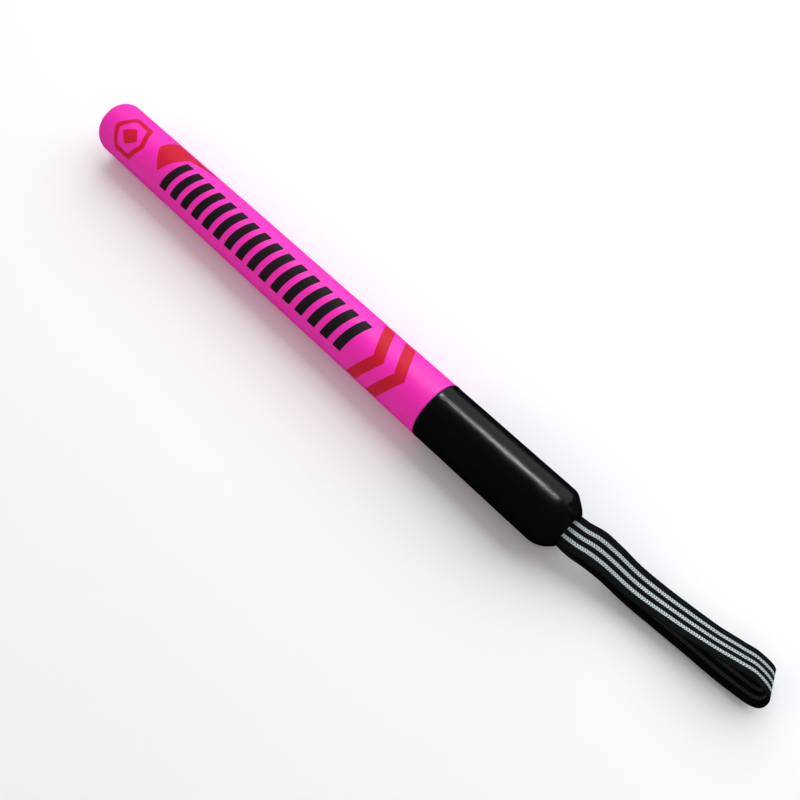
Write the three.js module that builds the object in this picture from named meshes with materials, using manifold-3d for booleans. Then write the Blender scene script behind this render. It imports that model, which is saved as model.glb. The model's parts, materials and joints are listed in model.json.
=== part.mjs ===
// Padded training stick: a foam-covered plastic tube in a two-colour skin, with a webbing wrist loop.
// Millimetres. +X runs from the padded tip to the butt, +Z is up, and the stick lies on z = 0.

import * as THREE from 'three';
import { mergeVertices } from 'three/addons/utils/BufferGeometryUtils.js';
import Module from 'manifold-3d';

const wasm = await Module();
wasm.setup();

// ---------------------------------------------------------------- driving dimensions

const STICK_LENGTH = 570;
const STICK_RADIUS = 25;
const GRIP_LENGTH = 138;
const UNDERSIDE_FLAT = 0.35; // depth by which the foam is pressed flat along the line it rests on
const SKIN = 1.2;
const GAP = 0.3; // clearance between pieces that touch
const SIDES = 40;

const TIP_EDGE_RADIUS = 8;
const TIP_CROWN = 3;
const BUTT_EDGE_RADIUS = 22;
const BUTT_DIMPLE = 8.5; // depth of the gathered hollow that the strap leaves from
const MOUTH_WIDTH = 31; // the foam's hollow is opened out round the strap
const MOUTH_HEIGHT = 8;

const TUBE_RADIUS = 16;
const TUBE_BORE = 14;
const PLUG_FLANGE = 3;
const PLUG_FIT = 0.3;
const TIP_FOAM = 17; // foam between the tip plug and the tip's crown
const BUTT_FOAM = 24;

const WEBBING_WIDTH = 28;
const WEBBING_THICKNESS = 1.6;
const TAIL_WIDTH = 25; // the webbing is drawn in where it enters the stick
const TAIL_OFFSET = 0.9; // from the stick's axis to the middle of each of the two tails
const TAIL_PAST_RIVET = 13;
const SLOT_WIDTH = 25.6;
const SLOT_HEIGHT = 4.4;
const HINGE_PAST_BUTT = 2.2;
const HINGE_CLEARANCE = 3.4; // from the swing axis to the root of the loop

const RIVET_RADIUS = 2;
const RIVET_HEAD = 3.6;
const RIVET_HEAD_HEIGHT = 1.2;
const TACK_LENGTH = 7;
const TACK_WIDTH = 21;
const TACK_HEIGHT = 0.3;
const TACK_POST = 0.5; // radius of the thread that joins the tack's two faces

const PRINT_ANGLE = 22.5; // degrees from the top of the stick, towards -Y
const PRINT_THICKNESS = 0.3;
const PRINT_GAP = 0.1;
const BADGE_X = -238;
const BAR_COUNT = 16;
const BAR_PITCH = 15.5;
const FIRST_BAR_X = -176;

// ---------------------------------------------------------------- places worked out from them

const AXIS_Z = STICK_RADIUS - UNDERSIDE_FLAT;
const TIP_X = -STICK_LENGTH / 2;
const BUTT_X = STICK_LENGTH / 2;
const JUNCTION_X = BUTT_X - GRIP_LENGTH;
const FOAM_RADIUS = STICK_RADIUS - SKIN - GAP;
const TIP_ARC = { x: TIP_X + TIP_CROWN + TIP_EDGE_RADIUS, r: STICK_RADIUS - TIP_EDGE_RADIUS };
const BUTT_ARC = { x: BUTT_X - BUTT_EDGE_RADIUS, r: STICK_RADIUS - BUTT_EDGE_RADIUS };
const TIP_FLANGE_X = TIP_X + TIP_FOAM;
const BUTT_FLANGE_X = BUTT_X - BUTT_FOAM;
const HINGE_X = BUTT_X + HINGE_PAST_BUTT;
const RIVET_X = BUTT_FLANGE_X - 18;
const TACK_X = BUTT_FLANGE_X + 9;

// ---------------------------------------------------------------- materials

function paint(color, roughness, metalness = 0) {
  return new THREE.MeshStandardMaterial({ color, roughness, metalness });
}

const LOOKS = {
  pink: () => paint(0xff2fc3, 0.42),
  black: () => paint(0x121214, 0.4),
  red: () => paint(0xd81b38, 0.5),
  ink: () => paint(0x1c2322, 0.55),
  foam: () => paint(0xb9bcc2, 0.95),
  plastic: () => paint(0xd9d9d4, 0.6),
  webbing: () => paint(0x17181a, 0.9),
  thread: () => paint(0x0f0f10, 0.8),
  pinkThread: () => paint(0xf25ac8, 0.8),
  steel: () => paint(0xb8bcc0, 0.35, 0.9),
};

// ---------------------------------------------------------------- geometry helpers

// One closed surface from a three.js geometry: shared vertices merged, collapsed triangles dropped,
// faces pointing out.
function welded(source) {
  const loose = source.clone();
  loose.deleteAttribute('normal');
  loose.deleteAttribute('uv');
  const merged = mergeVertices(loose, 1e-4);
  const corners = merged.index.array;
  const place = merged.attributes.position;
  const kept = [];
  let volume = 0;
  const [a, b, c] = [new THREE.Vector3(), new THREE.Vector3(), new THREE.Vector3()];
  for (let i = 0; i < corners.length; i += 3) {
    const [p, q, r] = [corners[i], corners[i + 1], corners[i + 2]];
    if (p === q || q === r || r === p) continue;
    a.fromBufferAttribute(place, p);
    b.fromBufferAttribute(place, q);
    c.fromBufferAttribute(place, r);
    volume += a.dot(b.cross(c));
    kept.push(p, q, r);
  }
  if (volume < 0) kept.reverse();
  merged.setIndex(kept);
  return merged;
}

function toSolid(geometry) {
  const closed = welded(geometry);
  const vertProperties = new Float32Array(closed.attributes.position.array);
  const triVerts = new Uint32Array(closed.index.array);
  return new wasm.Manifold(new wasm.Mesh({ numProp: 3, vertProperties, triVerts }));
}

function toGeometry(solid) {
  const mesh = solid.getMesh();
  const geometry = new THREE.BufferGeometry();
  geometry.setAttribute('position', new THREE.BufferAttribute(new Float32Array(mesh.vertProperties), 3));
  geometry.setIndex([...mesh.triVerts]);
  return geometry;
}

function cut(geometry, ...tools) {
  let solid = toSolid(geometry);
  for (const tool of tools) solid = solid.subtract(toSolid(tool));
  return toGeometry(solid);
}

// Points of an arc in the (x, r) half plane, angles in degrees from +X towards +r.
function arc(centre, radius, from, to, steps) {
  const points = [];
  for (let i = 0; i <= steps; i += 1) {
    const angle = THREE.MathUtils.degToRad(from + ((to - from) * i) / steps);
    points.push([centre.x + radius * Math.cos(angle), centre.r + radius * Math.sin(angle)]);
  }
  return points;
}

// A piece turned about the stick's own axis from a closed outline of [x, r] points.
function turned(outline, sides = SIDES) {
  const points = outline.map(([x, r]) => new THREE.Vector2(r, x));
  points.push(points[0].clone());
  const geometry = new THREE.LatheGeometry(points, sides);
  geometry.rotateZ(-Math.PI / 2);
  geometry.translate(0, 0, AXIS_Z);
  return geometry;
}

// Presses the underside flat: the full depth at the outer skin, fading to nothing at half radius.
function pressed(geometry) {
  const place = geometry.attributes.position;
  const fadeRadius = STICK_RADIUS / 2;
  for (let i = 0; i < place.count; i += 1) {
    const radius = Math.hypot(place.getY(i), place.getZ(i) - AXIS_Z);
    const fade = (STICK_RADIUS - radius) / (STICK_RADIUS - fadeRadius);
    const floor = STICK_RADIUS - radius - UNDERSIDE_FLAT * fade;
    if (fade < 1 && place.getZ(i) < floor) place.setZ(i, floor);
  }
  return geometry;
}

function box(x0, x1, width, height, z = AXIS_Z) {
  const geometry = new THREE.BoxGeometry(x1 - x0, width, height);
  geometry.translate((x0 + x1) / 2, 0, z);
  return geometry;
}

function uprightPin(x, radius, height) {
  const geometry = new THREE.CylinderGeometry(radius, radius, height, 24);
  geometry.rotateX(Math.PI / 2);
  geometry.translate(x, 0, AXIS_Z);
  return geometry;
}

function strapSlot() {
  const [start, end] = [RIVET_X - TAIL_PAST_RIVET, BUTT_X + 5];
  return box(start, end, SLOT_WIDTH, SLOT_HEIGHT);
}

function rivetHole() {
  return uprightPin(RIVET_X, RIVET_RADIUS + GAP, 2 * FOAM_RADIUS);
}

// ---------------------------------------------------------------- core

function coreTube() {
  const start = TIP_FLANGE_X + PLUG_FLANGE + GAP;
  const end = BUTT_FLANGE_X - PLUG_FLANGE - GAP;
  const outline = [[start, TUBE_BORE], [end, TUBE_BORE], [end, TUBE_RADIUS], [start, TUBE_RADIUS]];
  return cut(turned(outline), rivetHole());
}

// Moulded cup with a flange that seats on the tube's end.
function tipPlug() {
  const spigot = TUBE_BORE - PLUG_FIT;
  const wall = 2.5;
  const seat = TIP_FLANGE_X + PLUG_FLANGE;
  const mouth = seat + 15;
  return turned([
    [TIP_FLANGE_X, 0],
    [TIP_FLANGE_X, TUBE_RADIUS],
    [seat, TUBE_RADIUS],
    [seat, spigot],
    [mouth, spigot],
    [mouth, spigot - wall],
    [seat, spigot - wall],
    [seat, 0],
  ]);
}

function buttPlug() {
  const spigot = TUBE_BORE - PLUG_FIT;
  const seat = BUTT_FLANGE_X - PLUG_FLANGE;
  const back = seat - 28;
  const blank = turned([
    [back, 0],
    [back, spigot],
    [seat, spigot],
    [seat, TUBE_RADIUS],
    [BUTT_FLANGE_X, TUBE_RADIUS],
    [BUTT_FLANGE_X, 0],
  ]);
  return cut(blank, box(back - 1, BUTT_FLANGE_X + 1, SLOT_WIDTH, SLOT_HEIGHT), rivetHole());
}

// Rivet through tube, plug and both strap tails, with a flat head at each end.
function anchorRivet() {
  const grip = TUBE_RADIUS + 0.1;
  const top = grip + RIVET_HEAD_HEIGHT;
  const halfOutline = [
    [0, -top],
    [RIVET_HEAD, -top],
    [RIVET_HEAD, -grip],
    [RIVET_RADIUS, -grip],
    [RIVET_RADIUS, grip],
    [RIVET_HEAD, grip],
    [RIVET_HEAD, top],
    [0, top],
  ];
  const geometry = new THREE.LatheGeometry(halfOutline.map(([r, z]) => new THREE.Vector2(r, z)), 16);
  geometry.rotateX(Math.PI / 2);
  geometry.translate(RIVET_X, 0, AXIS_Z);
  return geometry;
}

// ---------------------------------------------------------------- foam

function foamSleeve() {
  const inner = TUBE_RADIUS + GAP;
  const outline = [
    [TIP_FLANGE_X, inner],
    [BUTT_FLANGE_X, inner],
    [BUTT_FLANGE_X, FOAM_RADIUS],
    [TIP_FLANGE_X, FOAM_RADIUS],
  ];
  const pocketHeight = 2 * (TUBE_RADIUS + RIVET_HEAD_HEIGHT + 0.8);
  const pocket = uprightPin(RIVET_X, RIVET_HEAD + 2 * GAP, pocketHeight);
  return cut(pressed(turned(outline)), pocket);
}

function foamTipPad() {
  const back = TIP_FLANGE_X - GAP;
  const front = TIP_X + SKIN + GAP;
  const edge = TIP_EDGE_RADIUS - SKIN - GAP;
  return pressed(turned([
    [front, 0],
    ...arc(TIP_ARC, edge, 180, 90, 5),
    [back, FOAM_RADIUS],
    [back, 0],
  ]));
}

function foamButtPad() {
  const front = BUTT_FLANGE_X + GAP;
  const edge = BUTT_EDGE_RADIUS - SKIN - GAP;
  const dimple = BUTT_X - BUTT_DIMPLE - SKIN - GAP;
  const blank = turned([
    [front, 0],
    [front, FOAM_RADIUS],
    ...arc(BUTT_ARC, edge, 90, 34, 6),
    [dimple + 0.8, 5.4],
    [dimple, 0],
  ]);
  return cut(pressed(blank), strapSlot(), box(dimple - 1, BUTT_X + 5, MOUTH_WIDTH, MOUTH_HEIGHT));
}

// ---------------------------------------------------------------- skin

function strikingCover() {
  const end = JUNCTION_X - GAP / 2;
  return pressed(turned([
    [end, STICK_RADIUS - SKIN],
    [end, STICK_RADIUS],
    [(end + TIP_ARC.x) / 2, STICK_RADIUS],
    ...arc(TIP_ARC, TIP_EDGE_RADIUS, 90, 180, 7),
    ...arc(TIP_ARC, TIP_EDGE_RADIUS - SKIN, 180, 90, 6),
  ]));
}

function tipCoverDisc() {
  const rim = TIP_ARC.r - GAP;
  const crownAt = (r) => TIP_X + TIP_CROWN * (r / TIP_ARC.r) ** 2;
  const radii = [0, 0.5, 0.8, 1].map((share) => share * rim);
  const outer = radii.map((r) => [crownAt(r), r]);
  const inner = radii.map((r) => [crownAt(r) + SKIN, r]).reverse();
  return turned([...outer, ...inner], SIDES);
}

function gripCover() {
  const start = JUNCTION_X + GAP / 2;
  const dimple = BUTT_X - BUTT_DIMPLE;
  const blank = turned([
    [start, STICK_RADIUS - SKIN],
    [start, STICK_RADIUS],
    ...arc(BUTT_ARC, BUTT_EDGE_RADIUS, 90, 30, 9),
    [dimple + 0.6, 4.6],
    [dimple, 0],
    [dimple - SKIN, 0],
    [dimple - SKIN + 0.7, 5.2],
    ...arc(BUTT_ARC, BUTT_EDGE_RADIUS - SKIN, 33, 90, 8),
  ]);
  return cut(pressed(blank), strapSlot());
}

// ---------------------------------------------------------------- stitching

// Seam thread along the stick, at an angle from the top towards +Y: raised stitches joined end to end.
function seamThread(from, to) {
  const pitch = 5;
  const gapBetween = 1.6;
  const width = 0.8;
  const [low, high] = [0.2, 0.55];
  const foot = STICK_RADIUS + 0.08;
  const seamAngle = THREE.MathUtils.degToRad(4.5 - 126);
  const count = Math.floor((to - from) / pitch);
  const crest = [];
  for (let i = 0; i < count; i += 1) {
    const x = from + i * pitch;
    crest.push([x, foot + low], [x + gapBetween / 2, foot + high]);
    crest.push([x + pitch - gapBetween / 2, foot + high]);
  }
  const end = from + count * pitch;
  const outline = [[from, foot], [end, foot], [end, foot + low], ...crest.reverse()];
  const shape = new THREE.Shape(outline.map(([x, r]) => new THREE.Vector2(x, r)));
  const thread = new THREE.ExtrudeGeometry(shape, { depth: width, bevelEnabled: false });
  thread.translate(0, 0, -width / 2);
  thread.rotateX(Math.PI / 2 + seamAngle);
  thread.translate(0, 0, AXIS_Z);
  return thread;
}

// Thread round the rounded edge of the tip that holds the end disc.
function tipDiscThread() {
  const [near, far] = [TIP_EDGE_RADIUS + 0.08, TIP_EDGE_RADIUS + 0.6];
  return turned([...arc(TIP_ARC, near, 176, 164, 2), ...arc(TIP_ARC, far, 164, 176, 2)]);
}

// Stitched patch over the upper tail and under the lower one, joined through both by thread.
function strapBarTack() {
  const [start, end] = [TACK_X - TACK_LENGTH / 2, TACK_X + TACK_LENGTH / 2];
  const faceZ = TAIL_OFFSET + WEBBING_THICKNESS / 2 + TACK_HEIGHT / 2 + 0.05;
  let all = toSolid(box(start, end, TACK_WIDTH, TACK_HEIGHT, AXIS_Z + faceZ));
  all = all.add(toSolid(box(start, end, TACK_WIDTH, TACK_HEIGHT, AXIS_Z - faceZ)));
  for (const post of tackPosts(TACK_POST, 2 * faceZ)) all = all.add(toSolid(post));
  return toGeometry(all);
}

function tackPosts(radius, height) {
  return [-8, 8].map((y) => {
    const post = new THREE.CylinderGeometry(radius, radius, height, 8);
    post.rotateX(Math.PI / 2);
    post.translate(TACK_X, y, AXIS_Z);
    return post;
  });
}

// ---------------------------------------------------------------- wrist strap

function strapTail(side) {
  const start = RIVET_X - TAIL_PAST_RIVET;
  const z = AXIS_Z + side * TAIL_OFFSET;
  const tail = box(start, HINGE_X - GAP, TAIL_WIDTH, WEBBING_THICKNESS, z);
  return cut(tail, rivetHole(), ...tackPosts(TACK_POST + GAP, SLOT_HEIGHT));
}

// Middle line of the webbing: out along the upper run, round the open end and back along the
// lower run, which lies on the floor. Each row is [past the swing axis, Y, Z, turn, tilt]. The
// webbing's width points along +Y, turned towards -X and tilted upwards by those two angles.
const LOOP_ROUTE = [
  [HINGE_CLEARANCE, 1.3, 25.55, 0, 0],
  [15.7, 3.9, 25.3, 4.3, 3],
  [27.7, 5.5, 22.8, 6.7, -3],
  [52.7, 7.9, 15.7, 8.4, -9],
  [84.6, 11.4, 15.2, 9.9, -18],
  [113.3, 14.9, 17.5, 11.9, -26],
  [130.3, 17.6, 20.3, 14, -28],
  [142.4, 19.9, 20.3, 15.5, -28],
  [156, 19.4, 14.6, 15, -22],
  [155.3, 14.5, 5.8, 14.2, -14.7],
  [134.9, 12, 3.5, 12.7, -8.2],
  [101.7, 10.9, 3.1, 10.7, -5.3],
  [72.7, 9.5, 3.1, 8.3, -3.5],
  [54, 7.2, 7.3, 6, -2],
  [29, 4.2, 16.5, 3.9, -0.5],
  [13.8, 1.1, 21.6, 2, 0],
  [HINGE_CLEARANCE, -1.3, 23.75, 0, 0],
];

const SQUARED_BY = 0.06; // share of the loop's length

function acrossAt(turn, tilt) {
  const [a, b] = [THREE.MathUtils.degToRad(turn), THREE.MathUtils.degToRad(tilt)];
  return new THREE.Vector3(-Math.sin(a) * Math.cos(b), Math.cos(a) * Math.cos(b), Math.sin(b));
}

// Flat webbing swept along a curve. A second curve gives the direction of its width, which is
// squared up to the first one except near the two ends, so those stay parallel to the swing axis.
function ribbon(curve, directions, width, thickness, steps) {
  const places = [];
  const corners = [];
  for (let i = 0; i <= steps; i += 1) {
    const u = i / steps;
    const t = curve.getUtoTmapping(u);
    const centre = curve.getPoint(t);
    const tangent = curve.getTangent(t);
    const across = directions.getPoint(t);
    const squared = Math.min(1, u / SQUARED_BY, (1 - u) / SQUARED_BY);
    across.addScaledVector(tangent, -squared * across.dot(tangent)).normalize();
    const out = new THREE.Vector3().crossVectors(tangent, across).normalize();
    for (const [w, h] of [[-1, -1], [1, -1], [1, 1], [-1, 1]]) {
      const corner = centre.clone();
      corner.addScaledVector(across, (w * width) / 2);
      corner.addScaledVector(out, (h * thickness) / 2);
      places.push(...corner.toArray());
    }
  }
  for (let i = 0; i < steps; i += 1) {
    for (let side = 0; side < 4; side += 1) {
      const a = 4 * i + side;
      const b = 4 * i + ((side + 1) % 4);
      corners.push(a, b, b + 4, a, b + 4, a + 4);
    }
  }
  const last = 4 * steps;
  corners.push(0, 2, 1, 0, 3, 2, last, last + 1, last + 2, last, last + 2, last + 3);
  const geometry = new THREE.BufferGeometry();
  geometry.setAttribute('position', new THREE.Float32BufferAttribute(places, 3));
  geometry.setIndex(corners);
  return geometry;
}

function wristLoop() {
  const route = LOOP_ROUTE.map(([past, y, z]) => new THREE.Vector3(HINGE_X + past, y, z));
  const widths = LOOP_ROUTE.map((row) => acrossAt(row[3], row[4]));
  const curve = new THREE.CatmullRomCurve3(route);
  const directions = new THREE.CatmullRomCurve3(widths, false, 'catmullrom');
  return welded(ribbon(curve, directions, WEBBING_WIDTH, WEBBING_THICKNESS, 84));
}

// ---------------------------------------------------------------- printed film

// Flat artwork is a list of [x, v] points, v measured round the skin from the print's middle line.
// Its edges are divided finely, bent round the stick, and cut from a thin shell on the skin.
function filmShell() {
  const inner = STICK_RADIUS + PRINT_GAP;
  const outer = inner + PRINT_THICKNESS;
  const [start, end] = [TIP_ARC.x + 2, JUNCTION_X - 2];
  return toSolid(turned([[start, inner], [end, inner], [end, outer], [start, outer]]));
}

const FILM_SHELL = filmShell();

function bentShape(artwork) {
  const bent = [];
  artwork.forEach(([x0, v0], i) => {
    const [x1, v1] = artwork[(i + 1) % artwork.length];
    const steps = Math.max(1, Math.ceil(Math.abs(v1 - v0) / 5));
    for (let step = 0; step < steps; step += 1) {
      const share = step / steps;
      const v = v0 + (v1 - v0) * share;
      bent.push(new THREE.Vector2(x0 + (x1 - x0) * share, STICK_RADIUS * Math.sin(v / STICK_RADIUS)));
    }
  });
  return new THREE.Shape(bent);
}

function artPrism(artwork) {
  const depth = 2 * STICK_RADIUS;
  const prism = new THREE.ExtrudeGeometry(bentShape(artwork), { depth, bevelEnabled: false });
  // v runs from the print's middle line down towards -Y
  prism.scale(1, -1, 1);
  prism.rotateX(THREE.MathUtils.degToRad(PRINT_ANGLE));
  prism.translate(0, 0, AXIS_Z);
  return toSolid(prism);
}

// A piece of film in the artwork's shape, with an opening where a second outline is given.
function film(artwork, opening) {
  let piece = FILM_SHELL.intersect(artPrism(artwork));
  if (opening) piece = piece.subtract(artPrism(opening));
  return toGeometry(piece);
}

// A V-shaped band whose point looks towards the grip.
function chevron(point) {
  const arm = 31.5;
  const sweep = 17;
  const band = 11;
  return film([
    [point - band, 0],
    [point - band - sweep, -arm],
    [point - sweep, -arm],
    [point, 0],
    [point - sweep, arm],
    [point - band - sweep, arm],
  ]);
}

// One slanted bar of the plain printed row.
function slantedBar(start) {
  const half = 17;
  const slant = 4;
  const width = 9;
  return film([
    [start + slant, -half],
    [start + slant + width, -half],
    [start - slant + width, half],
    [start - slant, half],
  ]);
}

// Six-sided ring, for the badge near the tip.
function badgeRing() {
  const hexagon = (radius) => [0, 1, 2, 3, 4, 5].map((i) => {
    const angle = (i * Math.PI) / 3;
    return [BADGE_X + radius * Math.cos(angle), radius * Math.sin(angle)];
  });
  return film(hexagon(22), hexagon(16.5));
}

function badgeDiamond() {
  return film([[BADGE_X - 11, 0], [BADGE_X, 9], [BADGE_X + 11, 0], [BADGE_X, -9]]);
}

function wedge() {
  return film([[-189, 7], [-206, -11], [-203, -31], [-144, -31], [-174, -22]]);
}

// ---------------------------------------------------------------- assembly

const stick = new THREE.Group();

function add(name, geometry, look) {
  const mesh = new THREE.Mesh(geometry.index ? geometry : welded(geometry), look());
  mesh.name = name;
  stick.add(mesh);
}

add('core_tube', coreTube(), LOOKS.plastic);
add('tip_plug', welded(tipPlug()), LOOKS.plastic);
add('butt_plug', buttPlug(), LOOKS.plastic);
add('anchor_rivet', welded(anchorRivet()), LOOKS.steel);

add('foam_sleeve', foamSleeve(), LOOKS.foam);
add('foam_tip_pad', welded(foamTipPad()), LOOKS.foam);
add('foam_butt_pad', foamButtPad(), LOOKS.foam);

add('striking_cover', welded(strikingCover()), LOOKS.pink);
add('tip_cover_disc', welded(tipCoverDisc()), LOOKS.pink);
add('grip_cover', gripCover(), LOOKS.black);

add('striking_seam_thread', welded(seamThread(TIP_ARC.x, JUNCTION_X - 2)), LOOKS.pinkThread);
add('grip_seam_thread', welded(seamThread(JUNCTION_X + 2, BUTT_ARC.x)), LOOKS.thread);
add('tip_disc_thread', welded(tipDiscThread()), LOOKS.pinkThread);

add('strap_tail_upper', strapTail(1), LOOKS.webbing);
add('strap_tail_lower', strapTail(-1), LOOKS.webbing);
add('strap_bar_tack', strapBarTack(), LOOKS.thread);
add('wrist_loop', wristLoop(), LOOKS.webbing);

add('print_badge_ring', badgeRing(), LOOKS.red);
add('print_badge_diamond', badgeDiamond(), LOOKS.red);
add('print_wedge', wedge(), LOOKS.red);
for (let i = 0; i < BAR_COUNT; i += 1) {
  add(`print_bar_${i + 1}`, slantedBar(FIRST_BAR_X + i * BAR_PITCH), LOOKS.ink);
}
add('print_chevron_1', chevron(99), LOOKS.red);
add('print_chevron_2', chevron(122), LOOKS.red);

export default stick;
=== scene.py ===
"""Padded training stick lying on a pale floor: a pink and black synthetic leather skin over foam, a row of
printed marks, and a striped webbing wrist loop. Lengths are in metres, in the part's own frame."""
import math
import json

import bmesh
import bpy
import numpy as np
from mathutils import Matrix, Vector, noise


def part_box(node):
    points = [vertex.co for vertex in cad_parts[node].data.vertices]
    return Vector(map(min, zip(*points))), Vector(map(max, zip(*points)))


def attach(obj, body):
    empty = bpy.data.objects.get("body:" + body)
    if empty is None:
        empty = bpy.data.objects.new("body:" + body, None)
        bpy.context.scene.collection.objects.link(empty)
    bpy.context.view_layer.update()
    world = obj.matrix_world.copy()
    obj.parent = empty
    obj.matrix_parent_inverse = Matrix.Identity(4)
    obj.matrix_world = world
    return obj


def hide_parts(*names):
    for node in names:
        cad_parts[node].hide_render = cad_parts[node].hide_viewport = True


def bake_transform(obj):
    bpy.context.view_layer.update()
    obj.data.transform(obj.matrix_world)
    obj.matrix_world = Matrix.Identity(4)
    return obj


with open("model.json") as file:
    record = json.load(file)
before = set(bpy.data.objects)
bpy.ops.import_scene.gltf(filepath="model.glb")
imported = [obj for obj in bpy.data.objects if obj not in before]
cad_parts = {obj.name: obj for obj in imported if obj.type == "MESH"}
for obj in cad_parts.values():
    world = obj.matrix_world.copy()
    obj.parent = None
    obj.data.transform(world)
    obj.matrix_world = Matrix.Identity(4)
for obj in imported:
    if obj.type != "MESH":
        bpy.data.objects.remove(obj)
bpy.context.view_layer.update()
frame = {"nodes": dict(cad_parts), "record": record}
MM = 0.001

# ---------------------------------------------------------------- sizes read from the frame

STRIKING_LOW, STRIKING_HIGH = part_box("striking_cover")
GRIP_LOW, GRIP_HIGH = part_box("grip_cover")
DISC_LOW, DISC_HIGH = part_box("tip_cover_disc")
SWING = next(j for j in frame["record"]["behaviour"]["joints"] if j["name"] == "strap_swing")
HINGE = Vector(SWING["pos_m"])

RADIUS = (STRIKING_HIGH.y - STRIKING_LOW.y) / 2
AXIS_Z = STRIKING_HIGH.z - RADIUS
FLAT_DEPTH = RADIUS - AXIS_Z
SKIN = 1.2 * MM
JUNCTION_X = (STRIKING_HIGH.x + GRIP_LOW.x) / 2
TIP_SEAM_X = STRIKING_LOW.x
TIP_X = DISC_LOW.x
TIP_EDGE = 8 * MM
BUTT_EDGE = 22 * MM
TIP_ARC = (TIP_SEAM_X + TIP_EDGE, RADIUS - TIP_EDGE)
BUTT_ARC = (GRIP_HIGH.x - BUTT_EDGE * math.cos(math.radians(30)), RADIUS - BUTT_EDGE)
STRIPE_PITCH = 6.75 * MM
PRINT_ANGLE = math.radians(22.5)  # the prints' middle line, from the top towards -Y
SEAM_ANGLE = math.radians(4.5 - 126)  # the lengthwise seam, on the other side

# ---------------------------------------------------------------- camera


def make_camera():
    data = bpy.data.cameras.new("camera")
    data.lens, data.sensor_width = 36, 36
    data.clip_start, data.clip_end = 0.01, 20
    camera = bpy.data.objects.new("camera", data)
    # the place and the direction come from a program's fit to the photo's perspective
    camera.location = (0.338, -0.2214, 0.5702)
    looking = Vector((-0.3479, 0.3339, -0.8761))
    camera.rotation_mode = "QUATERNION"
    camera.rotation_quaternion = looking.to_track_quat("-Z", "Y")
    bpy.context.scene.collection.objects.link(camera)
    bpy.context.scene.camera = camera


make_camera()

# ---------------------------------------------------------------- material helpers


class Nodes:
    """Short way to write a node tree."""

    def __init__(self, name):
        self.material = bpy.data.materials.new(name)
        self.material.use_nodes = True
        self.tree = self.material.node_tree
        self.tree.nodes.clear()
        self.output = self.add("ShaderNodeOutputMaterial")

    def add(self, kind, settings=None, **inputs):
        node = self.tree.nodes.new(kind)
        for key, value in (settings or {}).items():
            setattr(node, key, value)
        for key, value in inputs.items():
            self.feed(node, key.replace("_", " "), value)
        return node

    def feed(self, node, socket, value):
        target = node.inputs[socket]
        if isinstance(value, bpy.types.NodeSocket):
            self.tree.links.new(value, target)
        else:
            target.default_value = value

    def place(self, scale=(1, 1, 1)):
        """Object coordinates, scaled along each axis."""
        where = self.add("ShaderNodeTexCoord").outputs["Object"]
        return self.add("ShaderNodeMapping", Vector=where, Scale=scale).outputs["Vector"]

    def noise(self, where, scale, detail=3.0, rough=0.55):
        node = self.add("ShaderNodeTexNoise", Vector=where, Scale=scale, Detail=detail, Roughness=rough)
        return node.outputs["Fac"]

    def band(self, value, low, high, to_low=0.0, to_high=1.0):
        """value between low and high, mapped to another range."""
        node = self.add("ShaderNodeMapRange", Value=value)
        for key, number in (("From Min", low), ("From Max", high), ("To Min", to_low), ("To Max", to_high)):
            node.inputs[key].default_value = number
        return node.outputs["Result"]

    def math(self, operation, a, b=0.0, c=0.0):
        node = self.add("ShaderNodeMath", {"operation": operation})
        for i, value in enumerate((a, b, c)):
            if isinstance(value, bpy.types.NodeSocket):
                self.tree.links.new(value, node.inputs[i])
            else:
                node.inputs[i].default_value = value
        return node.outputs[0]

    def mix(self, share, a, b):
        node = self.add("ShaderNodeMix", {"data_type": "RGBA"})
        for socket, value in ((0, share), (6, a), (7, b)):
            if isinstance(value, bpy.types.NodeSocket):
                self.tree.links.new(value, node.inputs[socket])
            elif socket:
                node.inputs[socket].default_value = (*value, 1)
            else:
                node.inputs[socket].default_value = value
        return node.outputs[2]

    def bump(self, height, strength, distance, normal=None):
        node = self.add("ShaderNodeBump", Height=height, Strength=strength, Distance=distance)
        if normal:
            self.tree.links.new(normal, node.inputs["Normal"])
        return node.outputs["Normal"]

    def shade(self, color, roughness, normal=None, **constants):
        shader = self.add("ShaderNodeBsdfPrincipled")
        self.feed(shader, "Base Color", color if isinstance(color, bpy.types.NodeSocket) else (*color, 1))
        self.feed(shader, "Roughness", roughness)
        if normal:
            self.feed(shader, "Normal", normal)
        for key, value in constants.items():
            self.feed(shader, key.replace("_", " "), value)
        self.tree.links.new(shader.outputs[0], self.output.inputs["Surface"])
        return self.material


def synthetic_leather(name, color, deep, gloss, specular, grain=0.13):
    """Coated cloth: a fine pebbled grain, a faint orange peel, and slightly uneven gloss and colour."""
    n = Nodes(name)
    where = n.place()
    pebbles = n.add("ShaderNodeTexVoronoi", {"feature": "SMOOTH_F1"}, Vector=where, Scale=850.0)
    fine = n.noise(where, 1900.0, 4.0)
    soft = n.noise(where, 90.0, 2.0)
    patch = n.noise(where, 14.0, 3.0)
    height = n.math("MULTIPLY_ADD", pebbles.outputs["Distance"], 0.6, fine)
    normal = n.bump(height, grain, 0.00012)
    normal = n.bump(soft, 0.12, 0.0006, normal)
    shaded = n.mix(n.band(patch, 0.3, 0.75), color, deep)
    shaded = n.mix(n.band(fine, 0.3, 0.42, 0.35, 0.0), shaded, deep)
    roughness = n.math("ADD", n.band(soft, 0.3, 0.7, gloss - 0.03, gloss + 0.05),
                       n.band(fine, 0.2, 0.8, -0.03, 0.04))
    return n.shade(shaded, roughness, normal, Specular_IOR_Level=specular)


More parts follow.
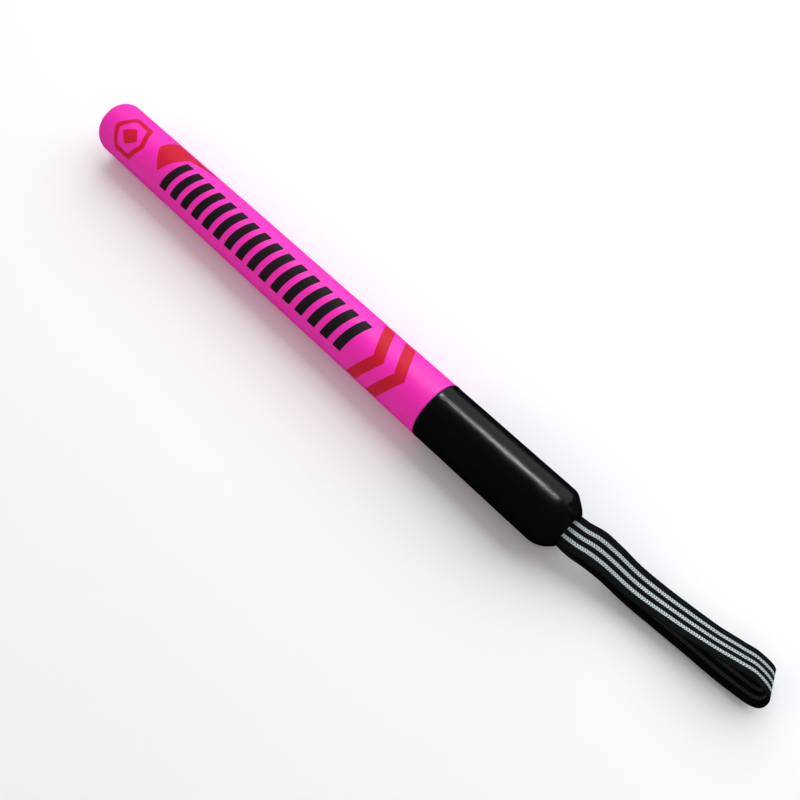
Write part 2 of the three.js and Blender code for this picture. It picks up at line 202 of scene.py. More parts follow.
def printed_film(name, color, thin, gloss):
    """Ink laid on the skin: the grain shows through and small flecks are missing."""
    n = Nodes(name)
    where = n.place()
    fine = n.noise(where, 2200.0, 3.0)
    wear = n.noise(where, 420.0, 4.0, 0.7)
    patch = n.noise(where, 30.0, 2.0)
    normal = n.bump(fine, 0.2, 0.00005)
    shaded = n.mix(n.band(patch, 0.35, 0.7, 0.0, 0.5), color, thin)
    shaded = n.mix(n.band(wear, 0.66, 0.74, 0.0, 0.7), shaded, thin)
    roughness = n.band(fine, 0.2, 0.8, gloss - 0.04, gloss + 0.06)
    return n.shade(shaded, roughness, normal, Specular_IOR_Level=0.16)


def webbing_cloth(name, color, bright, metal, rough, speckle):
    """Woven tape, patterned by the 'run' map in millimetres: X goes across the tape and Y along it."""
    n = Nodes(name)
    run = n.add("ShaderNodeUVMap", {"uv_map": "run"}).outputs["UV"]
    place = n.add("ShaderNodeSeparateXYZ", Vector=run)
    pick = n.noise(n.add("ShaderNodeMapping", Vector=run, Scale=(1.3, 1.0, 1)).outputs[0], 1.1, 2.0)
    from_middle = n.math("PINGPONG", place.outputs["X"], STRIPE_PITCH / MM / 2)
    turns = n.math("ADD", n.math("MULTIPLY", place.outputs["Y"], 3.3), n.math("MULTIPLY", from_middle, 2.4))
    braid = n.math("SINE", n.math("ADD", turns, n.math("MULTIPLY", pick, 4.5)))
    fleck = n.math("ADD", n.band(braid, -1.0, 1.0, 0.0, 0.62), n.math("MULTIPLY", pick, 0.75))
    lit = n.band(fleck, 0.35, 0.85)
    shaded = n.mix(n.math("MULTIPLY", lit, speckle), color, bright)
    normal = n.bump(fleck, 0.5, 0.00012)
    roughness = n.band(lit, 0.0, 1.0, rough, rough - 0.12)
    return n.shade(shaded, roughness, normal, Metallic=metal, Specular_IOR_Level=0.04)


def twisted_thread(name, color, deep):
    n = Nodes(name)
    where = n.place((1, 1, 1))
    wave = n.add("ShaderNodeTexWave", {"bands_direction": "DIAGONAL"}, Vector=where, Scale=900.0,
                 Distortion=0.5)
    ply = wave.outputs["Fac"]
    return n.shade(n.mix(ply, deep, color), n.band(ply, 0, 1, 0.7, 0.5), n.bump(ply, 0.5, 0.0001))


def closed_cell_foam(name):
    n = Nodes(name)
    where = n.place()
    cells = n.add("ShaderNodeTexVoronoi", Vector=where, Scale=1100.0).outputs["Distance"]
    shaded = n.mix(n.band(cells, 0.0, 0.6), (0.42, 0.43, 0.45), (0.56, 0.57, 0.59))
    return n.shade(shaded, n.band(cells, 0, 0.6, 0.95, 0.85), n.bump(cells, 0.4, 0.0003))


def moulded_plastic(name):
    n = Nodes(name)
    where = n.place()
    fine = n.noise(where, 700.0)
    shaded = n.mix(n.noise(where, 25.0), (0.66, 0.66, 0.62), (0.74, 0.74, 0.70))
    return n.shade(shaded, n.band(fine, 0.3, 0.7, 0.42, 0.52), n.bump(fine, 0.08, 0.0002))


def turned_steel(name):
    n = Nodes(name)
    where = n.place((1, 1, 8))
    lines = n.noise(where, 900.0, 2.0)
    shaded = n.mix(lines, (0.45, 0.46, 0.48), (0.6, 0.61, 0.63))
    return n.shade(shaded, n.band(lines, 0.3, 0.7, 0.28, 0.42), n.bump(lines, 0.1, 0.0001), Metallic=1.0)


LOOKS = {
    "pink_skin": synthetic_leather("pink_skin", (0.88, 0.014, 0.46), (0.83, 0.012, 0.40), 0.47, 0.36),
    "black_skin": synthetic_leather("black_skin", (0.0036, 0.0036, 0.0038), (0.0026, 0.0026, 0.0028),
                                    0.2, 0.36, 0.42),
    "red_print": printed_film("red_print", (0.53, 0.006, 0.022), (0.58, 0.008, 0.045), 0.5),
    "black_print": printed_film("black_print", (0.009, 0.010, 0.010), (0.026, 0.011, 0.016), 0.5),
    "foam": closed_cell_foam("foam"),
    "white_plastic": moulded_plastic("white_plastic"),
    "webbing_black": webbing_cloth("webbing_black", (0.0028, 0.0028, 0.003), (0.008, 0.008, 0.0085),
                                   0.0, 0.9, 0.6),
    "webbing_silver": webbing_cloth("webbing_silver", (0.075, 0.09, 0.095), (0.50, 0.56, 0.57),
                                    0.2, 0.6, 1.0),
    "webbing_grey": webbing_cloth("webbing_grey", (0.012, 0.012, 0.012), (0.06, 0.06, 0.06), 0.0, 0.8, 1.0),
    "pink_thread": twisted_thread("pink_thread", (0.86, 0.06, 0.5), (0.6, 0.03, 0.32)),
    "black_thread": twisted_thread("black_thread", (0.02, 0.02, 0.022), (0.006, 0.006, 0.007)),
    "steel": turned_steel("steel"),
}

# ---------------------------------------------------------------- mesh helpers


def face_outwards(shell):
    """Turn every face of a closed bmesh to look out of it, thin curved films included."""
    bmesh.ops.recalc_face_normals(shell, faces=shell.faces[:])
    if shell.calc_volume(signed=True) < 0:
        bmesh.ops.reverse_faces(shell, faces=shell.faces[:])


def new_piece(name, points, faces, looks, replaced, body="stick", smooth=True, marks=None):
    """A mesh object from points in metres. looks is one look or several, marks each face's choice."""
    mesh = bpy.data.meshes.new(name)
    mesh.from_pydata([tuple(p) for p in points], [], faces)
    mesh.validate()
    shell = bmesh.new()
    shell.from_mesh(mesh)
    face_outwards(shell)
    shell.to_mesh(mesh)
    shell.free()
    for look in [looks] if isinstance(looks, str) else looks:
        mesh.materials.append(LOOKS[look])
    if marks is not None:
        mesh.polygons.foreach_set("material_index", marks)
    mesh.polygons.foreach_set("use_smooth", [smooth] * len(mesh.polygons))
    piece = bpy.data.objects.new(name, mesh)
    bpy.context.scene.collection.objects.link(piece)
    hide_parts(*replaced)
    if body:
        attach(piece, body)
    return piece


def rings_to_faces(rings, count, closed=False):
    """Quads between rings of count points each. closed joins the last ring to the first."""
    faces = []
    for i in range(rings if closed else rings - 1):
        a, b = i * count, ((i + 1) % rings) * count
        for j in range(count):
            k = (j + 1) % count
            faces.append((a + j, b + j, b + k, a + k))
    return faces


def smoothstep(low, high, value):
    t = min(max((value - low) / (high - low), 0.0), 1.0)
    return t * t * (3 - 2 * t)


def mix(a, b, share):
    return a + (b - a) * share


def wrap(angle):
    return (angle + math.pi) % (2 * math.pi) - math.pi


# ---------------------------------------------------------------- the skin's surface


def swell(x, angle):
    """Small unevenness of cloth glued over foam."""
    around = Vector((x * 14, math.cos(angle) * 0.9, math.sin(angle) * 0.9))
    fine = Vector((x * 60, math.cos(angle) * 2.2, math.sin(angle) * 2.2))
    return 0.22 * MM * noise.noise(around) + 0.06 * MM * noise.noise(fine)


def lap(angle):
    """Height of the overlapped lengthwise seam: a step that fades out round the stick."""
    along = RADIUS * wrap(angle - SEAM_ANGLE)
    step = smoothstep(-0.3 * MM, 0.3 * MM, along)
    return 0.55 * MM * step * (1 - smoothstep(7 * MM, 15 * MM, along))


def pressed(point):
    """Flattens the underside where the foam rests, most at the outer skin."""
    radius = math.hypot(point.y, point.z - AXIS_Z)
    fade = (RADIUS - radius) / (RADIUS / 2)
    floor = max(0.0, RADIUS - radius - FLAT_DEPTH * fade)
    return Vector((point.x, point.y, max(point.z, floor))) if fade < 1 else point


def on_skin(x, angle, lift=0.0):
    """Point on the straight part of the skin, angle from the top towards -Y, lift above the surface."""
    r = RADIUS + swell(x, angle) + lap(angle) + lift
    x += tip_skew(x, angle)
    return pressed(Vector((x, -r * math.sin(angle), AXIS_Z + r * math.cos(angle))))


def around_angles(count):
    """Even angles, with closer ones at the seam's step."""
    even = [2 * math.pi * i / count for i in range(count)]
    close = [(SEAM_ANGLE + d * MM / RADIUS) % (2 * math.pi) for d in (-0.5, -0.25, 0.0, 0.25, 0.5)]
    kept = [a for a in even if all(abs(wrap(a - c)) > 0.5 * MM / RADIUS for c in close)]
    return sorted(kept + close)


ANGLES = around_angles(144)


RIM_SKEW = 1.7 * MM


def tip_skew(x, angle):
    """The sewn rim of the tip sits a little further out on the +Y side than on the other."""
    side = max(math.cos(angle + math.radians(80)), -0.15)
    return -RIM_SKEW * side * smoothstep(30 * MM, 6 * MM, x - TIP_SEAM_X)


def tip_ring(phi, inset=0.0):
    """Ring on the tip's rounded edge. phi is 90 degrees at the straight part and falls to 0 at the end."""
    points = []
    fade = math.sin(phi) ** 2
    for a in ANGLES:
        reach = TIP_EDGE - inset + (swell(TIP_ARC[0], a) + lap(a)) * fade + tip_pleats(phi, a)
        r = TIP_ARC[1] + reach * math.sin(phi)
        x = TIP_ARC[0] - reach * math.cos(phi)
        points.append(pressed(Vector((x + tip_skew(x, a), -r * math.sin(a), AXIS_Z + r * math.cos(a)))))
    return points


def straight_rings(start, end, step, angles):
    count = max(2, round(abs(end - start) / step))
    return [[on_skin(start + (end - start) * i / count, a) for a in angles] for i in range(count + 1)]


def inner_rings(start, end, angles, count=5):
    """The hidden inner side of the skin."""
    r = RADIUS - SKIN
    rings = []
    for i in range(count):
        x = start + (end - start) * i / (count - 1)
        rings.append([pressed(Vector((x, -r * math.sin(a), AXIS_Z + r * math.cos(a)))) for a in angles])
    return rings


def skin_from_rings(name, rings, look, replaced):
    flat = [p for ring in rings for p in ring]
    return new_piece(name, flat, rings_to_faces(len(rings), len(ANGLES), closed=True), look, replaced)


def tip_pleats(phi, angle):
    """Shallow gathers where the tube of skin is drawn in to the end disc."""
    reach = 1 - smoothstep(math.radians(20), math.radians(62), phi)
    return 0.22 * MM * reach * math.sin(22 * angle + 1.4 * math.sin(3 * angle))


def make_striking_skin():
    edge_x = STRIKING_HIGH.x
    rolled = [[on_skin(edge_x - 0.4 * MM * (1 - math.cos(t)), a, -0.5 * MM * math.sin(t)) for a in ANGLES]
              for t in (1.4, 0.7)]
    rings = rolled + straight_rings(edge_x - 0.5 * MM, TIP_ARC[0], 2.5 * MM, ANGLES)
    steps = 14
    for i in range(1, steps + 1):
        rings.append(tip_ring(math.radians(90 - 82 * i / steps)))
    for degrees, inset in ((4, 0.5 * MM), (3, SKIN), (30, SKIN), (60, SKIN)):
        rings.append(tip_ring(math.radians(degrees), inset))
    rings += inner_rings(TIP_ARC[0], edge_x - 0.3 * MM, ANGLES)
    piece = skin_from_rings("striking_skin", rings, "pink_skin", ["striking_cover"])
    return piece


def make_tip_disc():
    """Crowned end disc whose edge turns in to the seam and runs on a little way under the rolled rim."""
    rim = (DISC_HIGH.y - DISC_LOW.y) / 2 - 0.1 * MM
    crown = TIP_SEAM_X - TIP_X
    count = len(ANGLES)
    profile = [(1.06, 0.62), (1.03, 0.6), (1.005, 0.5), (0.99, 0.25), (0.97, 0.05)]
    profile += [(s, 0.0) for s in (0.92, 0.84, 0.72, 0.58, 0.44, 0.3, 0.18, 0.08, 0.02)]
    points = []
    for share, drop in profile:
        for a in ANGLES:
            r = rim * share
            pucker = 0.12 * MM * smoothstep(0.7, 1.0, share) * math.sin(22 * a)
            dent = 0.25 * MM * noise.noise(Vector((r * 60 * math.cos(a), r * 60 * math.sin(a), 3.1)))
            x = TIP_X + crown * share ** 2 + drop * MM + pucker + dent * (1 - share)
            x += tip_skew(TIP_SEAM_X, a) * share
            points.append(Vector((x, -r * math.sin(a), AXIS_Z + r * math.cos(a))))
    back = []
    for share in (0.02, 0.5, 0.99):
        for a in ANGLES:
            x = TIP_X + crown * share ** 2 + SKIN + tip_skew(TIP_SEAM_X, a) * share
            r = rim * share
            back.append(Vector((x, -r * math.sin(a), AXIS_Z + r * math.cos(a))))
    faces = rings_to_faces(len(profile), count)
    offset = len(points)
    faces += [tuple(offset + i for i in f) for f in rings_to_faces(3, count)]
    last = (len(profile) - 1) * count
    faces.append(tuple(last + i for i in range(count)))
    faces.append(tuple(offset + count - 1 - i for i in range(count)))
    for j in range(count):
        k = (j + 1) % count
        faces.append((offset + 2 * count + j, j, k, offset + 2 * count + k))
    return new_piece("tip_disc", points + back, faces, "pink_skin", ["tip_cover_disc"])


BUTT_FOLDS = math.radians(32)  # how far round the end's curve the skin goes before it turns in to the strap
CREST_X = BUTT_ARC[0] + BUTT_EDGE * math.cos(BUTT_FOLDS)
# The foam's hollow end and the skin's shoulder, each as points past the arc's middle and out from it.
FOAM_HOLLOW = ((12.8 * MM, 5.4 * MM), (17.0 * MM, 14.5 * MM))
SHOULDER = ((0.0, 22.0), (2.5, 22.0), (6.2, 22.0), (8.6, 19.6), (18.2, 11.4))  # millimetres


def folds(angle):
    """Uneven soft folds round the drawn-in end, from -1 to 1."""
    slow = math.sin(9 * angle + 1.9 * math.sin(2 * angle + 0.6))
    fast = math.sin(17 * angle + 2.1 * math.sin(3 * angle + 1.0))
    return 0.65 * slow + 0.35 * fast


def shoulder_point(share):
    """Profile of the end where the skin is pulled straight from a tight shoulder to the strap."""
    a, b, c, d, e = (Vector(p) * MM for p in SHOULDER)
    if share < 0.18:
        return a.lerp(b, share / 0.18)
    if share < 0.5:
        t = (share - 0.18) / 0.32
        return b * (1 - t) ** 2 + c * 2 * t * (1 - t) + d * t ** 2
    return d.lerp(e, (share - 0.5) / 0.5)


def butt_ring(share, inset=0.0):
    """Ring on the butt's end, from the straight part (share 0) to the crest round the strap (share 1)."""
    points = []
    for a in ANGLES:
        phi = math.radians(90) - (math.radians(90) - BUTT_FOLDS) * share
        round_end = Vector((math.cos(phi), math.sin(phi))) * BUTT_EDGE
        tight = 0.8 * smoothstep(-0.2, 0.75, math.cos(a + math.radians(70)))
        place = round_end.lerp(shoulder_point(share), tight)
        deep = smoothstep(0.42, 0.8, share) * (1 - 0.35 * smoothstep(0.85, 1.0, share))
        slack = (swell(BUTT_ARC[0], a) + lap(a)) * (1 - share) ** 2
        out = 0.75 * MM * folds(a + 0.25 * share) * deep + slack
        place += place.normalized() * (max(out, -0.1 * MM) - inset)
        x, r = BUTT_ARC[0] + place.x, BUTT_ARC[1] + place.y
        points.append(pressed(Vector((x, -r * math.sin(a), AXIS_Z + r * math.cos(a)))))
    return points


def over_foam(point):
    """Lays the drawn-in skin on the foam's hollow end, above and below the strap's opening."""
    (low_x, low_r), (high_x, high_r) = FOAM_HOLLOW
    height = abs(point.z - AXIS_Z)
    share = (math.hypot(point.y, height) - low_r) / (high_r - low_r)
    front = BUTT_ARC[0] + mix(low_x, high_x, min(max(share, 0), 1)) + 0.5 * MM
    if point.x > BUTT_ARC[0] + 11 * MM:
        point.x += max(front - point.x, 0) * smoothstep(2.8 * MM, 3.9 * MM, height)
    return point


def mouth_ring(half_y, half_z, x, square, depth, blend):
    """Ring of the drawn-in mouth: from the crest's circle to the flat slot round the webbing."""
    points = []
    for a, crest in zip(ANGLES, butt_ring(1.0)):
        c, s = math.cos(a), math.sin(a)
        y = half_y * math.copysign(abs(s) ** (2 / square), -s)
        z = half_z * math.copysign(abs(c) ** (2 / square), c)
        slot = Vector((x + depth * folds(a + 0.25), y, AXIS_Z + z))
        points.append(over_foam(crest.lerp(slot, blend)))
    return points


def make_grip_skin():
    edge_x = GRIP_LOW.x
    rings = []
    for t in (1.5, 0.9, 0.4):
        x, lift = edge_x + 0.45 * MM * (1 - math.cos(t)), 0.22 * MM - 0.75 * MM * math.sin(t)
        rings.append([on_skin(x, a, lift) for a in ANGLES])
    for past, lift in ((0.8, 0.25), (1.6, 0.2)):
        rings.append([on_skin(edge_x + past * MM, a, lift * MM) for a in ANGLES])
    rings += straight_rings(edge_x + 4 * MM, BUTT_ARC[0], 2.0 * MM, ANGLES)
    steps = 30
    rings += [butt_ring(i / steps) for i in range(1, steps + 1)]
    mouth = [  # half width and height, distance past the crest, squareness, depth of the folds, blend
        (14.9, 13.2, 0.0, 2.0, 0.3, 0.6), (14.7, 11.2, -0.7, 2.1, 0.35, 1), (14.5, 9.2, -1.5, 2.3, 0.3, 1),
        (14.4, 7.2, -2.4, 2.6, 0.2, 1), (14.3, 5.4, -3.3, 3.0, 0.1, 1), (14.0, 4.0, -4.4, 3.4, 0, 1),
        (13.5, 3.1, -6.0, 3.8, 0, 1), (13.0, 2.6, -9.0, 4.0, 0, 1), (14.2, 4.0, -9.4, 3.0, 0, 1),
    ]
    for half_y, half_z, past, square, depth, blend in mouth:
        x = CREST_X - 1.2 * MM + past * MM
        rings.append(mouth_ring(half_y * MM, half_z * MM, x, square, depth * MM, blend))
    rings += [butt_ring(share, SKIN * 1.6) for share in (0.8, 0.4)]
    rings += inner_rings(BUTT_ARC[0], edge_x + 0.3 * MM, ANGLES)
    piece = skin_from_rings("grip_skin", rings, "black_skin", ["grip_cover"])
    return piece


make_striking_skin()
make_tip_disc()
make_grip_skin()

# ---------------------------------------------------------------- stitching


def stitch_mesh(start, end, up, width, height, points, faces):
    """One thread stitch: a low rounded hump from start to end, its ends diving into the skin."""
    rows, sides = 9, 8
    along = end - start
    across = along.cross(up).normalized()
    base = len(points)
    for i in range(rows):
        t = i / (rows - 1)
        centre = start + along * t + up * (height * (math.sin(math.pi * t) ** 0.6 - 0.55))
        size = 0.5 * (0.35 + 0.65 * math.sin(math.pi * min(max(t, 0.04), 0.96)) ** 0.5)
        for j in range(sides):
            a = 2 * math.pi * j / sides
            aside = across * (width * size * math.cos(a))
            points.append(centre + aside + up * (width * size * math.sin(a)))
    faces += [tuple(base + i for i in f) for f in rings_to_faces(rows, sides)]
    faces.append(tuple(base + sides - 1 - j for j in range(sides)))
    faces.append(tuple(base + (rows - 1) * sides + j for j in range(sides)))


def make_seam_thread(name, start, end, look, node):
    pitch, stitch = 5 * MM, 3.7 * MM
    angle = SEAM_ANGLE + 3.2 * MM / RADIUS
    up = Vector((0, -math.sin(angle), math.cos(angle)))
    points, faces = [], []
    for i in range(int((end - start) / pitch)):
        x = start + i * pitch
        a, b = on_skin(x, angle), on_skin(x + stitch, angle)
        stitch_mesh(a, b, up, 0.85 * MM, 0.3 * MM, points, faces)
    return new_piece(name, points, faces, look, [node])


def make_tip_thread():
    count = 30
    points, faces = [], []
    rim = (DISC_HIGH.y - DISC_LOW.y) / 2
    for i in range(count):
        a = 2 * math.pi * i / count
        radial = Vector((0, -math.sin(a), math.cos(a)))
        centre = Vector((TIP_SEAM_X + tip_skew(TIP_SEAM_X, a), 0, AXIS_Z))
        inner = centre + radial * (rim - 1.5 * MM) - Vector((0.1 * MM, 0, 0))
        outer = centre + radial * (rim + 2.0 * MM)
        stitch_mesh(inner, outer, Vector((-1, 0, 0)), 0.8 * MM, 0.3 * MM, points, faces)
    return new_piece("tip_thread", points, faces, "pink_thread", ["tip_disc_thread"])


make_seam_thread("striking_thread", TIP_ARC[0] + 1 * MM, JUNCTION_X - 3 * MM, "pink_thread",
                 "striking_seam_thread")
make_seam_thread("grip_thread", JUNCTION_X + 4 * MM, BUTT_ARC[0], "black_thread", "grip_seam_thread")
make_tip_thread()

# ---------------------------------------------------------------- printed film


def rounded(outline, radius, steps=4):
    """A flat outline of (x, v) points in millimetres, with its corners rounded."""
    points = []
    count = len(outline)
    for i in range(count):
        before, corner, after = (Vector(outline[(i + k) % count]) for k in (-1, 0, 1))
        a, b = (before - corner), (after - corner)
        cut = min(radius, a.length / 2.5, b.length / 2.5)
        a, b = corner + a.normalized() * cut, corner + b.normalized() * cut
        for k in range(steps + 1):
            t = k / steps
            points.append(a * (1 - t) ** 2 + corner * 2 * t * (1 - t) + b * t ** 2)
    return points


def film_piece(name, outline, look, opening=None):
    """Bends flat artwork round the skin as a thin closed film. v runs round the skin towards -Y."""
    lift, sunk = 0.10 * MM, -0.15 * MM
    mesh = bmesh.new()
    loops = [outline] + ([opening] if opening else [])
    edges = []
    for loop in loops:
        verts = [mesh.verts.new((p[0], p[1], 0)) for p in loop]
        edges += [mesh.edges.new((verts[i], verts[(i + 1) % len(verts)])) for i in range(len(verts))]
    bmesh.ops.triangle_fill(mesh, edges=edges, use_beauty=True)
    xs, vs = [v.co.x for v in mesh.verts], [v.co.y for v in mesh.verts]
    for low, high, step, normal in ((min(vs), max(vs), 1.2, (0, 1, 0)), (min(xs), max(xs), 3.0, (1, 0, 0))):
        at = low + step
        while at < high - 0.05:
            where = (at, 0, 0) if normal[0] else (0, at, 0)
            everything = mesh.verts[:] + mesh.edges[:] + mesh.faces[:]
            bmesh.ops.bisect_plane(mesh, geom=everything, plane_co=where, plane_no=normal, dist=1e-4)
            at += step
    lower = mesh.verts[:]
    raised = bmesh.ops.extrude_face_region(mesh, geom=mesh.faces[:], use_keep_orig=True)["geom"]
    upper = {v for v in raised if isinstance(v, bmesh.types.BMVert)}
    for vert in mesh.verts:
        angle = PRINT_ANGLE + vert.co.y * MM / RADIUS
        vert.co = on_skin(vert.co.x * MM, angle, lift if vert in upper else sunk)
    face_outwards(mesh)
    data = bpy.data.meshes.new(name)
    mesh.to_mesh(data)
    mesh.free()
    data.materials.append(LOOKS[look])
    piece = bpy.data.objects.new(name, data)
    bpy.context.scene.collection.objects.link(piece)
    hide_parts("print_" + name.removeprefix("film_"))
    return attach(piece, "stick")


def chevron(point):
    arm, sweep, band = 31.5, 17, 11
    return [(point - band, 0), (point - band - sweep, -arm), (point - sweep, -arm), (point, 0),
            (point - sweep, arm), (point - band - sweep, arm)]


def slanted_bar(start):
    half, slant, width = 17, 4, 9
    return [(start + slant, -half), (start + slant + width, -half), (start - slant + width, half),
            (start - slant, half)]


def hexagon(centre, radius):
    turns = [i * math.pi / 3 for i in range(6)]
    return [(centre + radius * math.cos(t), radius * math.sin(t)) for t in turns]


BADGE = -238
DIAMOND = [(BADGE - 11, 0), (BADGE, 9), (BADGE + 11, 0), (BADGE, -9)]
WEDGE = [(-189, 7), (-206, -11), (-203, -31), (-144, -31), (-174, -22)]
film_piece("film_badge_ring", rounded(hexagon(BADGE, 22), 1.5), "red_print",
           rounded(hexagon(BADGE, 16.5), 1.2))
film_piece("film_badge_diamond", rounded(DIAMOND, 1.2), "red_print")
film_piece("film_wedge", rounded(WEDGE, 2.5), "red_print")
for bar in range(16):
    film_piece(f"film_bar_{bar + 1}", rounded(slanted_bar(-176 + 15.5 * bar), 1.2), "black_print")
film_piece("film_chevron_1", rounded(chevron(99), 0.8), "red_print")
film_piece("film_chevron_2", rounded(chevron(122), 0.8), "red_print")

# ---------------------------------------------------------------- wrist strap

# Middle line of the loop and the direction of its width, as in the CAD model: millimetres past the swing
# axis, Y and Z, then the two angles by which the width turns from +Y towards -X and tilts upwards.
# Not an example to follow: a fitting program made these rows, and 14 of the 17 are within 0.3 of what it
# printed. Only the first two and the last were moved further.
LOOP_ROUTE = [
    (3.4, 1.3, 25.55, 0, 0), (15.7, 3.9, 25.3, 4.3, 3), (27.7, 5.5, 22.8, 6.7, -3),
    (52.7, 7.9, 15.7, 8.4, -9),
    (84.6, 11.4, 15.2, 9.9, -18), (113.3, 14.9, 17.5, 11.9, -26), (130.3, 17.6, 20.3, 14, -28),
    (142.4, 19.9, 20.3, 15.5, -28), (156, 19.4, 14.6, 15, -22), (155.3, 14.5, 5.8, 14.2, -14.7),
    (134.9, 12, 3.5, 12.7, -8.2), (101.7, 10.9, 3.1, 10.7, -5.3), (72.7, 9.5, 3.1, 8.3, -3.5),
    (54, 7.2, 7.3, 6, -2), (29, 4.2, 16.5, 3.9, -0.5), (13.8, 1.1, 21.6, 2, 0), (3.4, -1.3, 23.75, 0, 0),
]
TAIL_GAP = 0.9 * MM
TAIL_LOW, TAIL_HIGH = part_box("strap_tail_upper")
TAIL_WIDTH = TAIL_HIGH.y - TAIL_LOW.y
TAPE_WIDTH = 28 * MM
TAPE_HALF = 0.72 * MM
STRIPES = (-0.241, 0.0, 0.241)  # middles of the silver stripes, as shares of the width
STRIPE_WIDTH = 2.9 * MM


def smooth_route(points, directions, step):
    """Even points on a centripetal Catmull-Rom curve, each with the direction of the width there."""
    count = len(points)
    dense, across = [], []
    for i in range(count - 1):
        p1, p2 = points[i], points[i + 1]
        p0 = points[i - 1] if i else p1 * 2 - p2
        p3 = points[i + 2] if i < count - 2 else p2 * 2 - p1
        t0, t1, t2 = (p1 - p0).length ** 0.5, (p2 - p1).length ** 0.5, (p3 - p2).length ** 0.5
        m1 = ((p1 - p0) / t0 - (p2 - p0) / (t0 + t1) + (p2 - p1) / t1) * t1
        m2 = ((p2 - p1) / t1 - (p3 - p1) / (t1 + t2) + (p3 - p2) / t2) * t1
        for k in range(24):
            u = k / 24
            h = 3 * u ** 2 - 2 * u ** 3
            dense.append(p1 * (1 - h) + p2 * h + m1 * (u - 2 * u ** 2 + u ** 3) + m2 * (u ** 3 - u ** 2))
            across.append(directions[i].lerp(directions[i + 1], h * 0.5 + u * 0.5))
    dense, across = np.array([*dense, points[-1]]), np.array([*across, directions[-1]])
    run = np.concatenate([[0], np.cumsum(np.linalg.norm(np.diff(dense, axis=0), axis=1))])
    even = np.linspace(0, run[-1], round(run[-1] / step) + 1)
    line = np.stack([np.interp(even, run, dense[:, k]) for k in range(3)], axis=1)
    return line, np.stack([np.interp(even, run, across[:, k]) for k in range(3)], axis=1), run[-1]


def in_stripe(share):
    return any(abs(share - s) < STRIPE_WIDTH / TAPE_WIDTH / 2 - 1e-6 for s in STRIPES)


def tape_section():
    """Points round the tape's section: share of the width (-0.5 to 0.5), height (-1 to 1), and side."""
    half_stripe = STRIPE_WIDTH / TAPE_WIDTH / 2
    shares = {s + d * half_stripe for s in STRIPES for d in (-1, -0.5, 0, 0.5, 1)}
    shares |= {-0.46, -0.42, -0.37, -0.33, -0.15, -0.09, 0.09, 0.15, 0.33, 0.37, 0.42, 0.46}
    outer = [(s, 1.0, 1) for s in sorted(shares)]
    inner = [(s, -1.0, -1) for s in sorted(shares, reverse=True)]
    high_edge = [(0.485, 0.75, 0), (0.5, 0.0, 0), (0.485, -0.75, 0)]
    low_edge = [(-0.485, -0.75, 0), (-0.5, 0.0, 0), (-0.485, 0.75, 0)]
    return outer + high_edge + inner + low_edge


def tape_surface(line, across, length, section):
    """Points of the webbing and their places on the flat tape, with a rib for every row of the weave."""
    tangents = np.gradient(line, axis=0)
    points, flat = [], []
    for i, centre in enumerate(line):
        tangent = Vector(tangents[i]).normalized()
        width_way = Vector(across[i])
        width_way = (width_way - tangent * width_way.dot(tangent)).normalized()
        out = tangent.cross(width_way)
        run = length * i / (len(line) - 1)
        rib = math.sin(2 * math.pi * run / (1.15 * MM))
        width = mix(TAIL_WIDTH, TAPE_WIDTH, smoothstep(HINGE.x - 15 * MM, HINGE.x - 4 * MM, centre[0]))
        for share, height, side in section:
            wave = 0.05 * MM * noise.noise(Vector((run * 55, share * 3, 5.0)))
            weave = (0.045 if side and abs(share) < 0.47 else 0.02) * MM * rib
            proud = 0.05 * MM if side > 0 and in_stripe(share) else 0.0
            place = Vector(centre) + width_way * (share * (width + 0.1 * MM * rib))
            points.append(place + out * (height * (TAPE_HALF + weave + proud) + wave))
            flat.append((share * TAPE_WIDTH / MM, run / MM))
    return points, flat


def make_strap():
    tail_start, tail_end = TAIL_LOW.x, HINGE.x - 14 * MM
    upper = [Vector((x, 0, AXIS_Z + TAIL_GAP)) for x in (tail_start, (tail_start + tail_end) / 2, tail_end)]
    lower = [Vector((p.x, 0, AXIS_Z - TAIL_GAP)) for p in reversed(upper)]
    loop = [Vector((HINGE.x + row[0] * MM, row[1] * MM, row[2] * MM)) for row in LOOP_ROUTE]
    ways = []
    for *_, turn, tilt in LOOP_ROUTE:
        a, b = math.radians(turn), math.radians(tilt)
        ways.append(Vector((-math.sin(a) * math.cos(b), math.cos(a) * math.cos(b), math.sin(b))))
    ways = [Vector((0, 1, 0))] * 3 + ways + [Vector((0, 1, 0))] * 3
    line, across, length = smooth_route(upper + loop + lower, ways, 0.55 * MM)
    section = tape_section()
    points, flat = tape_surface(line, across, length, section)
    count = len(section)
    faces = rings_to_faces(len(line), count)
    kinds = []
    for j in range(count):
        a, b = section[j], section[(j + 1) % count]
        silver = a[2] == b[2] != 0 and in_stripe((a[0] + b[0]) / 2)
        kinds.append((1 if a[2] > 0 else 2) if silver else 0)
    marks = [kinds[f % count] for f in range(len(faces))] + [0, 0]
    last = (len(line) - 1) * count
    faces.append(tuple(range(count)))
    faces.append(tuple(last + count - 1 - j for j in range(count)))
    looks = ["webbing_black", "webbing_silver", "webbing_grey"]
    replaced = ["wrist_loop", "strap_tail_upper", "strap_tail_lower"]
    strap = new_piece("strap", points, faces, looks, replaced, body=None, marks=marks)
    layer = strap.data.uv_layers.new(name="run")
    corner_points = np.zeros(len(strap.data.loops), int)
    strap.data.loops.foreach_get("vertex_index", corner_points)
    layer.data.foreach_set("uv", np.array(flat)[corner_points].ravel())
    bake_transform(strap)
    return strap


make_strap()

# ---------------------------------------------------------------- CAD pieces that stay

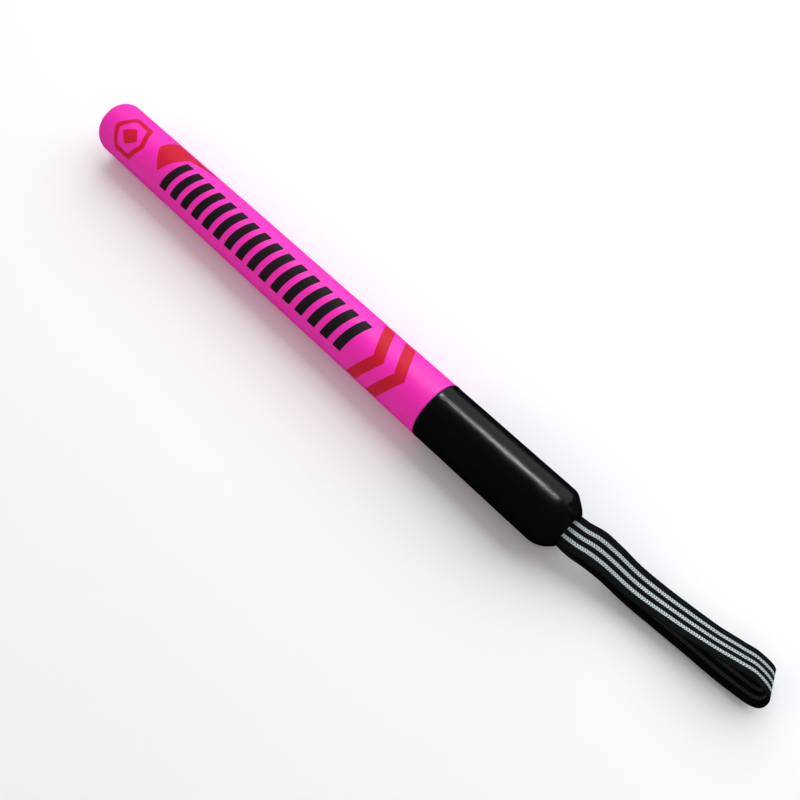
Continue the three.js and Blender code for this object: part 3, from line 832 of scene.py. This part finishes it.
for node, look in {
    "core_tube": "white_plastic", "tip_plug": "white_plastic", "butt_plug": "white_plastic",
    "anchor_rivet": "steel", "foam_sleeve": "foam", "foam_tip_pad": "foam", "foam_butt_pad": "foam",
    "strap_bar_tack": "black_thread",
}.items():
    piece = frame["nodes"][node]
    piece.data.materials.clear()
    piece.data.materials.append(LOOKS[look])

# ---------------------------------------------------------------- floor and light


FLOOR_HALF = 4


def make_floor():
    n = Nodes("floor")
    where = n.place()
    tone = n.mix(n.noise(where, 3.0), (0.83, 0.83, 0.83), (0.85, 0.85, 0.85))
    n.shade(tone, 0.9, Specular_IOR_Level=0.1)
    points = [(x * FLOOR_HALF, y * FLOOR_HALF, 0) for x, y in ((-1, -1), (1, -1), (1, 1), (-1, 1))]
    mesh = bpy.data.meshes.new("floor")
    mesh.from_pydata(points, [], [(0, 1, 2, 3)])
    mesh.materials.append(n.material)
    floor = bpy.data.objects.new("floor", mesh)
    floor.visible_glossy = False
    bpy.context.scene.collection.objects.link(floor)


def area_light(name, place, target, size, power, color=(1, 1, 1), gives="both"):
    """gives says what the lamp adds: 'light' that falls on things, a 'gloss' mirrored in them, or both."""
    data = bpy.data.lights.new(name, "AREA")
    data.shape = "RECTANGLE"
    data.size, data.size_y = size
    data.energy = power
    data.color = color
    light = bpy.data.objects.new(name, data)
    light.location = place
    light.rotation_mode = "QUATERNION"
    light.rotation_quaternion = (Vector(target) - Vector(place)).to_track_quat("-Z", "Y")
    light.visible_glossy = gives != "light"
    light.visible_diffuse = gives != "gloss"
    bpy.context.scene.collection.objects.link(light)


def make_world():
    world = bpy.data.worlds.new("studio")
    world.use_nodes = True
    bpy.context.scene.world = world
    background = world.node_tree.nodes["Background"]
    background.inputs["Color"].default_value = (0.97, 0.98, 1.0, 1)
    background.inputs["Strength"].default_value = 0.52
    world.cycles_visibility.glossy = False


make_floor()
make_world()
area_light("key", (0.05, 1.05, 1.15), (0.05, 0, 0), (3.0, 1.6), 36, (0.97, 0.99, 1.03), gives="light")
area_light("front", (-0.8, -1.2, 0.9), (0.0, 0, 0), (2.4, 1.4), 5, (1.3, 0.9, 0.7), gives="light")
area_light("strip", (0.02, 0.51, 0.80), (0.02, 0, 0.02), (0.22, 0.03), 2.2, gives="gloss")
area_light("strip_end", (-0.47, 0.51, 0.80), (-0.47, 0, 0.02), (0.75, 0.03), 1.0, gives="gloss")
area_light("side", (0.1, 1.3, 0.62), (0.1, 0, 0), (2.6, 1.2), 7, (0.95, 0.97, 1.0), gives="gloss")
bpy.context.scene.view_settings.view_transform = "Standard"
